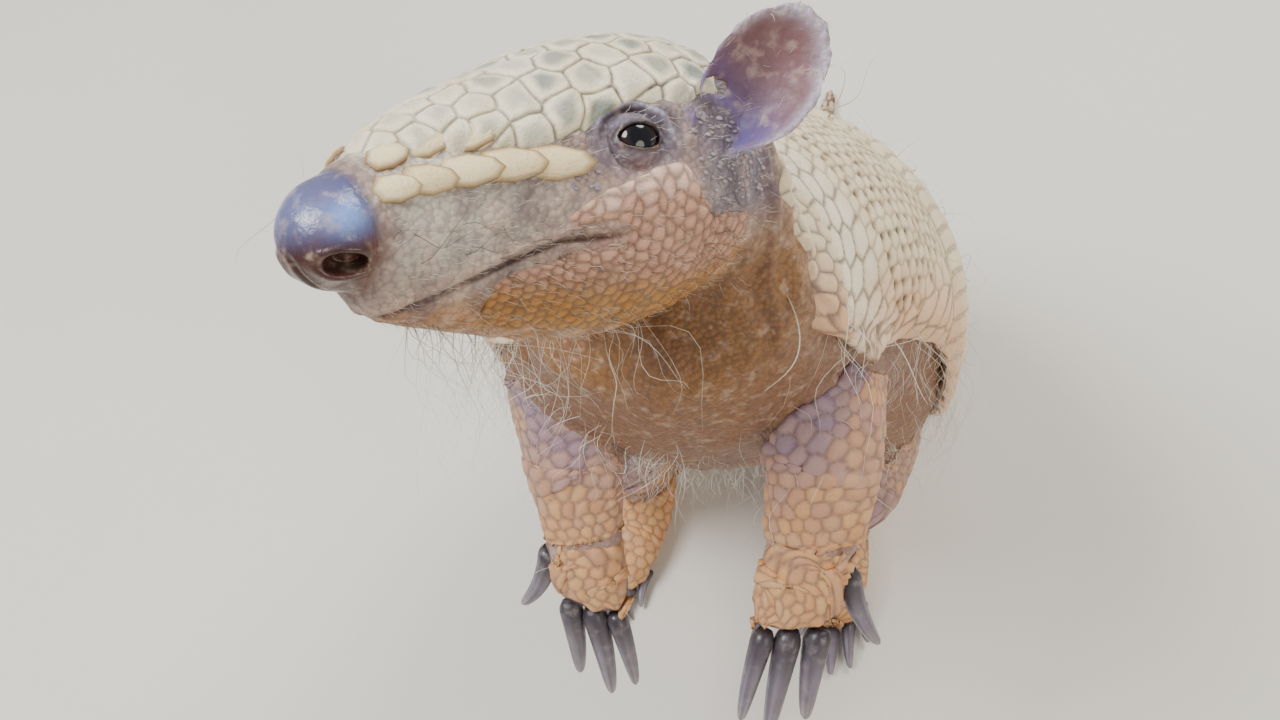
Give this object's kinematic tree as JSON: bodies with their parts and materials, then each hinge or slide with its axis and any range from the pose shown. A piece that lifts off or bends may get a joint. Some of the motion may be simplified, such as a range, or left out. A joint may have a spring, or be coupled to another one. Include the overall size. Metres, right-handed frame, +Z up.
{
  "type": "armadillo",
  "caption": "Life-size still model of a six-banded armadillo sitting up on its hind legs and tail, head turned and forelegs hanging.",
  "frame": {"origin": "on the floor, at the middle of the bounding box seen from above", "axes": "+Z up; the animal faces -Y; its left side is +X; the tail lies on the floor towards +Y"},
  "size_m": [0.171, 0.421, 0.3849],
  "materials": {
    "shell_scutes": "horny bone plates, cream to tan, pitted, satin",
    "head_scutes": "large smooth cream scutes with grey-green centres, satin",
    "body_skin": "mauve-pink to ochre wrinkled skin with rows of small tan scales and sparse pale bristles",
    "face_skin": "grey-taupe granular skin with fine short hair, pink-orange scaly cheeks",
    "ear_skin": "granular bare skin, red-brown and violet inside, pale rim",
    "tail_scutes": "rings of tan scutes, satin",
    "claw": "slate-grey horn, paler towards the tip, satin",
    "nose_skin": "moist bare skin, dark grey-brown, glossy",
    "eye": "dark brown, wet gloss"
  },
  "bodies": {
    "root": {"band_1": "shell_scutes", "band_2": "shell_scutes", "band_3": "shell_scutes", "band_4": "shell_scutes", "band_5": "shell_scutes", "band_6": "shell_scutes", "band_7": "shell_scutes", "ear_left": "ear_skin", "ear_right": "ear_skin", "eye_left": "eye", "eye_right": "eye", "foreclaw_left_1": "claw", "foreclaw_left_2": "claw", "foreclaw_left_3": "claw", "foreclaw_left_4": "claw", "foreclaw_left_5": "claw", "foreclaw_right_1": "claw", "foreclaw_right_2": "claw", "foreclaw_right_3": "claw", "foreclaw_right_4": "claw", "foreclaw_right_5": "claw", "forefoot_left": "body_skin", "forefoot_right": "body_skin", "foreleg_left": "body_skin", "foreleg_right": "body_skin", "head": "face_skin", "head_shield": "head_scutes", "hindclaw_left_1": "claw", "hindclaw_left_2": "claw", "hindclaw_left_3": "claw", "hindclaw_left_4": "claw", "hindclaw_left_5": "claw", "hindclaw_right_1": "claw", "hindclaw_right_2": "claw", "hindclaw_right_3": "claw", "hindclaw_right_4": "claw", "hindclaw_right_5": "claw", "hindfoot_left": "body_skin", "hindfoot_right": "body_skin", "hindleg_left": "body_skin", "hindleg_right": "body_skin", "neck": "body_skin", "nose": "nose_skin", "nuchal_band": "shell_scutes", "pelvic_shield": "shell_scutes", "scapular_shield": "shell_scutes", "tail_1": "tail_scutes", "tail_2": "tail_scutes", "tail_3": "tail_scutes", "trunk": "body_skin"}
  },
  "joints": []
}
